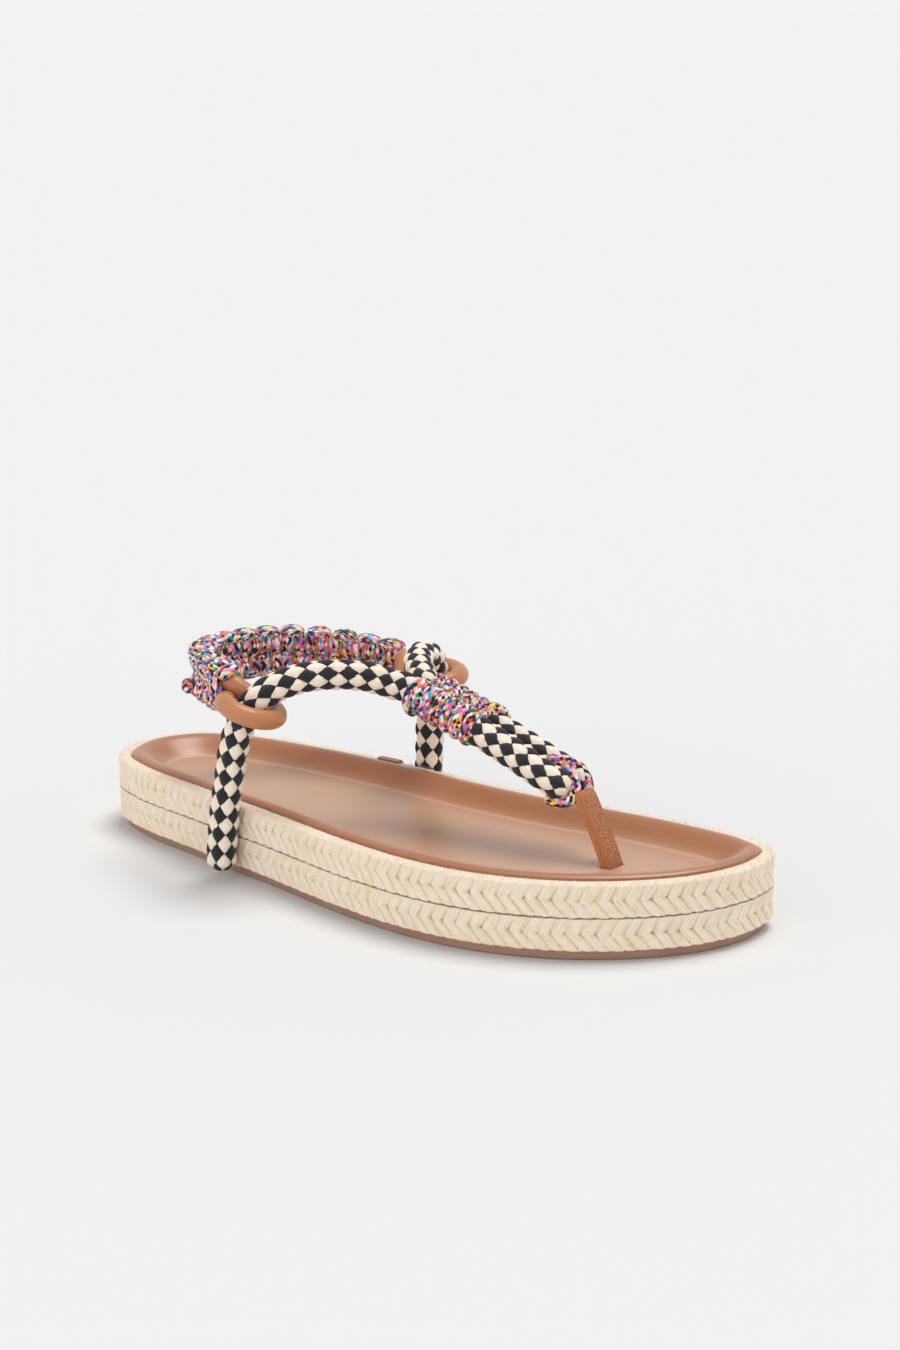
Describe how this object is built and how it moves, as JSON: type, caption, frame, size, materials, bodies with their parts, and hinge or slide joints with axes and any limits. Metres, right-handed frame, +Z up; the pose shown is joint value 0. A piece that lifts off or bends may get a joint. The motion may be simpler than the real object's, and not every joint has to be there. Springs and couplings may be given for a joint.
{
  "type": "toe post sandal",
  "caption": "Flat toe post sandal with a plaited jute edge, a leather bed, checkered cords over the instep and a knotted heel strap.",
  "frame": {"origin": "middle of the bounding box in plan, on the floor under the outsole", "axes": "+X towards the toes, +Y towards the inner side of the foot, +Z up"},
  "size_m": [0.2612, 0.109, 0.0777],
  "materials": {
    "outsole_rubber": "matt, smooth edge",
    "jute": "plaited natural jute, matt and fibrous",
    "footbed_leather": "smooth tan leather, satin",
    "checkered_cord": "plaited cotton cord in black and cream diamonds, matt",
    "confetti_cord": "plaited fine cord with small specks of many bright colours",
    "post_leather": "tan leather, smooth sides, rough cut edges",
    "loop_leather": "round tan leather cord, satin"
  },
  "bodies": {
    "root": {"outsole": "outsole_rubber", "jute_braid_lower": "jute", "jute_braid_upper": "jute", "footbed": "footbed_leather", "jute_joint_patch": "footbed_leather", "upper_cord_lateral": "checkered_cord", "upper_cord_medial": "checkered_cord", "instep_knots": "confetti_cord", "toe_tie": "confetti_cord", "toe_post": "post_leather", "heel_loop_cord": "loop_leather", "heel_knots": "confetti_cord"}
  },
  "joints": []
}
